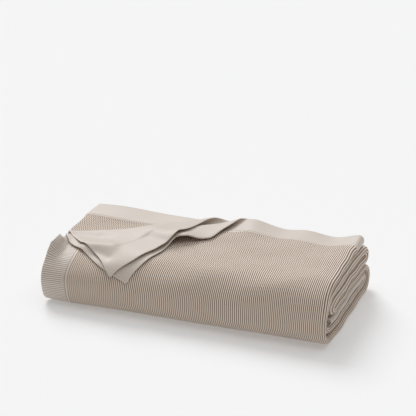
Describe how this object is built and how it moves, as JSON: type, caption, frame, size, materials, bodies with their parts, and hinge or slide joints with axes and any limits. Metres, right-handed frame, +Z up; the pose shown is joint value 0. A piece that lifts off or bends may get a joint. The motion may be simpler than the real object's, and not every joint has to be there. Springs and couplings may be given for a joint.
{
  "type": "knit throw blanket",
  "caption": "Knit throw blanket folded into a long flat bundle, with the back corner of its upper layers turned over towards the front",
  "frame": {"origin": "centre of the bounding box's bottom face, on the surface the folded throw lies on", "axes": "+X along the bundle from the turned corner's end to the folded end, +Y from the front to the back, +Z up"},
  "size_m": [0.449, 0.2206, 0.0969],
  "materials": {
    "knit": "matt beige cotton knit, textured face, smooth hem bands and reverse"
  },
  "bodies": {
    "root": {"throw": "knit"}
  },
  "joints": []
}
